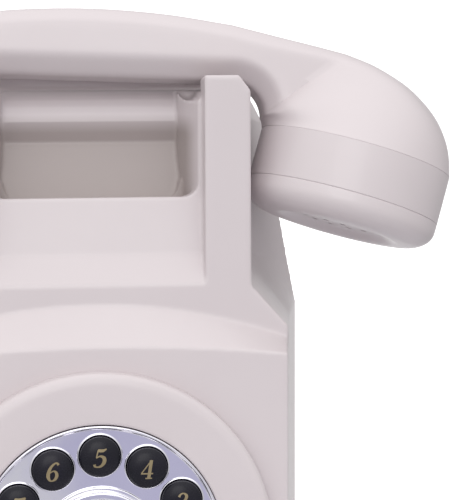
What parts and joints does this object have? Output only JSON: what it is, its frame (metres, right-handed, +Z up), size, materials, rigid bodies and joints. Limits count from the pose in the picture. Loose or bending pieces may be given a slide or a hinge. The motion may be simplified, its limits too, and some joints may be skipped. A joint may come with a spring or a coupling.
{
  "type": "wall telephone",
  "caption": "Wall telephone: open-backed moulded case with a round push-button dial, two cradle posts, a finger recess and a handset lying across them.",
  "frame": {"origin": "on the wall plane, straight behind the centre of the dial", "axes": "+X right, +Y into the wall, +Z up"},
  "size_m": [0.241, 0.0901, 0.2433],
  "materials": {
    "ivory_case": "polished ivory moulding",
    "ivory_handset": "polished ivory moulding",
    "grey_plastic": "textured",
    "black_plastic": "satin",
    "white_plastic": "satin",
    "button_plastic": "polished black",
    "dial_chrome": "polished",
    "label_card": "plain card",
    "clear_plastic": "clear",
    "keypad_rubber": "moulded",
    "circuit_board": "solder mask",
    "steel": "zinc plated",
    "spring_steel": "drawn wire",
    "gong_brass": "turned",
    "copper_wire": "enamelled winding",
    "iron_weight": "as cast"
  },
  "bodies": {
    "base": {"back_plate": "grey_plastic", "board_pillars": "grey_plastic", "board_screws": "steel", "case_screws": "steel", "case_shell": "ivory_case", "centre_label": "label_card", "centre_ring": "dial_chrome", "dial_bezel": "ivory_case", "dial_face_plate": "dial_chrome", "dial_screws": "steel", "gong_left": "gong_brass", "gong_right": "gong_brass", "gong_screws": "steel", "handset_socket": "black_plastic", "hook_bracket": "steel", "hook_spring": "spring_steel", "keypad_board": "circuit_board", "keypad_frame": "black_plastic", "keypad_mat": "keypad_rubber", "label_lens": "clear_plastic", "line_socket": "black_plastic", "main_board": "circuit_board", "micro_switch": "black_plastic", "ringer_coil": "copper_wire", "ringer_frame": "steel", "ringer_switch_housing": "black_plastic"},
    "handset": {"handset_shell": "ivory_handset", "earpiece_collar": "ivory_handset", "earpiece_cap": "ivory_handset", "receiver_capsule": "grey_plastic", "mouthpiece_collar": "ivory_handset", "mouthpiece_cap": "ivory_handset", "microphone_capsule": "grey_plastic", "handset_weight": "iron_weight", "handset_jack": "black_plastic"},
    "plunger": {"hook_plunger": "white_plastic"},
    "slider": {"volume_slider": "black_plastic"},
    "clapper": {"bell_clapper": "steel"},
    "button_0_body": {"button_0": "button_plastic"},
    "button_1_body": {"button_1": "button_plastic"},
    "button_2_body": {"button_2": "button_plastic"},
    "button_3_body": {"button_3": "button_plastic"},
    "button_4_body": {"button_4": "button_plastic"},
    "button_5_body": {"button_5": "button_plastic"},
    "button_6_body": {"button_6": "button_plastic"},
    "button_7_body": {"button_7": "button_plastic"},
    "button_8_body": {"button_8": "button_plastic"},
    "button_9_body": {"button_9": "button_plastic"},
    "button_hash_body": {"button_hash": "button_plastic"},
    "button_star_body": {"button_star": "button_plastic"}
  },
  "joints": [
    {"name": "handset_lift", "type": "slide", "parent": "base", "child": "handset", "axis": [0, 0, 1], "range_m": [0, 0.075]},
    {"name": "plunger_rise", "type": "slide", "parent": "base", "child": "plunger", "axis": [0, 0, 1], "range_m": [0, 0.006], "deforming": ["hook_spring"]},
    {"name": "volume_slide", "type": "slide", "parent": "base", "child": "slider", "axis": [1, 0, 0], "range_m": [-0.003, 0.003]},
    {"name": "clapper_swing", "type": "hinge", "parent": "base", "child": "clapper", "pos_m": [0, -0.04, 0.006], "axis": [0, 1, 0], "range_deg": [-2.8, 2.8]},
    {"name": "button_0_press", "type": "slide", "parent": "base", "child": "button_0_body", "axis": [0, 1, 0], "range_m": [0, 0.0016], "stiffness_N_per_m": 400},
    {"name": "button_1_press", "type": "slide", "parent": "base", "child": "button_1_body", "axis": [0, 1, 0], "range_m": [0, 0.0016], "stiffness_N_per_m": 400},
    {"name": "button_2_press", "type": "slide", "parent": "base", "child": "button_2_body", "axis": [0, 1, 0], "range_m": [0, 0.0016], "stiffness_N_per_m": 400},
    {"name": "button_3_press", "type": "slide", "parent": "base", "child": "button_3_body", "axis": [0, 1, 0], "range_m": [0, 0.0016], "stiffness_N_per_m": 400},
    {"name": "button_4_press", "type": "slide", "parent": "base", "child": "button_4_body", "axis": [0, 1, 0], "range_m": [0, 0.0016], "stiffness_N_per_m": 400},
    {"name": "button_5_press", "type": "slide", "parent": "base", "child": "button_5_body", "axis": [0, 1, 0], "range_m": [0, 0.0016], "stiffness_N_per_m": 400},
    {"name": "button_6_press", "type": "slide", "parent": "base", "child": "button_6_body", "axis": [0, 1, 0], "range_m": [0, 0.0016], "stiffness_N_per_m": 400},
    {"name": "button_7_press", "type": "slide", "parent": "base", "child": "button_7_body", "axis": [0, 1, 0], "range_m": [0, 0.0016], "stiffness_N_per_m": 400},
    {"name": "button_8_press", "type": "slide", "parent": "base", "child": "button_8_body", "axis": [0, 1, 0], "range_m": [0, 0.0016], "stiffness_N_per_m": 400},
    {"name": "button_9_press", "type": "slide", "parent": "base", "child": "button_9_body", "axis": [0, 1, 0], "range_m": [0, 0.0016], "stiffness_N_per_m": 400},
    {"name": "button_hash_press", "type": "slide", "parent": "base", "child": "button_hash_body", "axis": [0, 1, 0], "range_m": [0, 0.0016], "stiffness_N_per_m": 400},
    {"name": "button_star_press", "type": "slide", "parent": "base", "child": "button_star_body", "axis": [0, 1, 0], "range_m": [0, 0.0016], "stiffness_N_per_m": 400}
  ],
  "couplings": [
    {"joint": "plunger_rise", "follows": "handset_lift", "ratio": 0.08}
  ]
}
